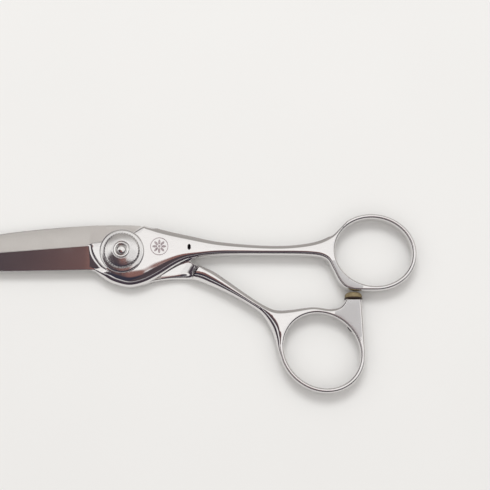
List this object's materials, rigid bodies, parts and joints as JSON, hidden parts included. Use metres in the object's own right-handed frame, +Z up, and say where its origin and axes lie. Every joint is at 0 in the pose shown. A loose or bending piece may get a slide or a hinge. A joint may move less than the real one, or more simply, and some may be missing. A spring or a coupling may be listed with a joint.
{
  "type": "hair cutting shears",
  "caption": "Offset-handle hair cutting shears with finger rings, a ball-bearing tension dial at the pivot and a bumper on the thumb half.",
  "frame": {"origin": "on the pivot axis, at the flat back face of the pivot stud, which the closed shears rest on", "axes": "+X from the blade tips to the finger rings, +Y from the thumb ring towards the finger ring, +Z up along the pivot axis, out of the dial"},
  "size_m": [0.1645, 0.0561, 0.0093],
  "materials": {
    "polished_steel": "mirror polished cobalt stainless steel",
    "satin_steel": "satin ground stainless steel",
    "bearing_bronze": "plain bearing bronze",
    "bumper_rubber": "tan translucent silencer rubber",
    "bumper_base": "dark brown rubber washer"
  },
  "bodies": {
    "finger_body": {"finger_half": "polished_steel", "bearing_bush": "bearing_bronze", "lower_race": "satin_steel"},
    "thumb_body": {"thumb_half": "polished_steel", "pivot_stud": "polished_steel", "blade_washer": "bearing_bronze", "upper_race": "satin_steel", "click_plate": "satin_steel", "lock_ring": "polished_steel", "bumper": "bumper_rubber", "bumper_base": "bumper_base", "bumper_screw": "satin_steel"},
    "dial_body": {"tension_dial": "polished_steel"},
    "cage_body": {"ball_cage": "bearing_bronze", "bearing_ball_1": "polished_steel", "bearing_ball_2": "polished_steel", "bearing_ball_3": "polished_steel", "bearing_ball_4": "polished_steel", "bearing_ball_5": "polished_steel", "bearing_ball_6": "polished_steel", "bearing_ball_7": "polished_steel", "bearing_ball_8": "polished_steel"}
  },
  "joints": [
    {"name": "pivot_open", "type": "hinge", "parent": "finger_body", "child": "thumb_body", "pos_m": [0, 0, 0], "axis": [0, 0, -1], "range_deg": [0, 90]},
    {"name": "dial_turn", "type": "hinge", "parent": "thumb_body", "child": "dial_body", "pos_m": [0, 0, 0.007], "axis": [0, 0, 1], "range_deg": [-90, 90]},
    {"name": "cage_roll", "type": "hinge", "parent": "finger_body", "child": "cage_body", "pos_m": [0, 0, 0.006], "axis": [0, 0, -1], "range_deg": [0, 45]}
  ],
  "couplings": [
    {"joint": "cage_roll", "follows": "pivot_open", "ratio": 0.5}
  ]
}
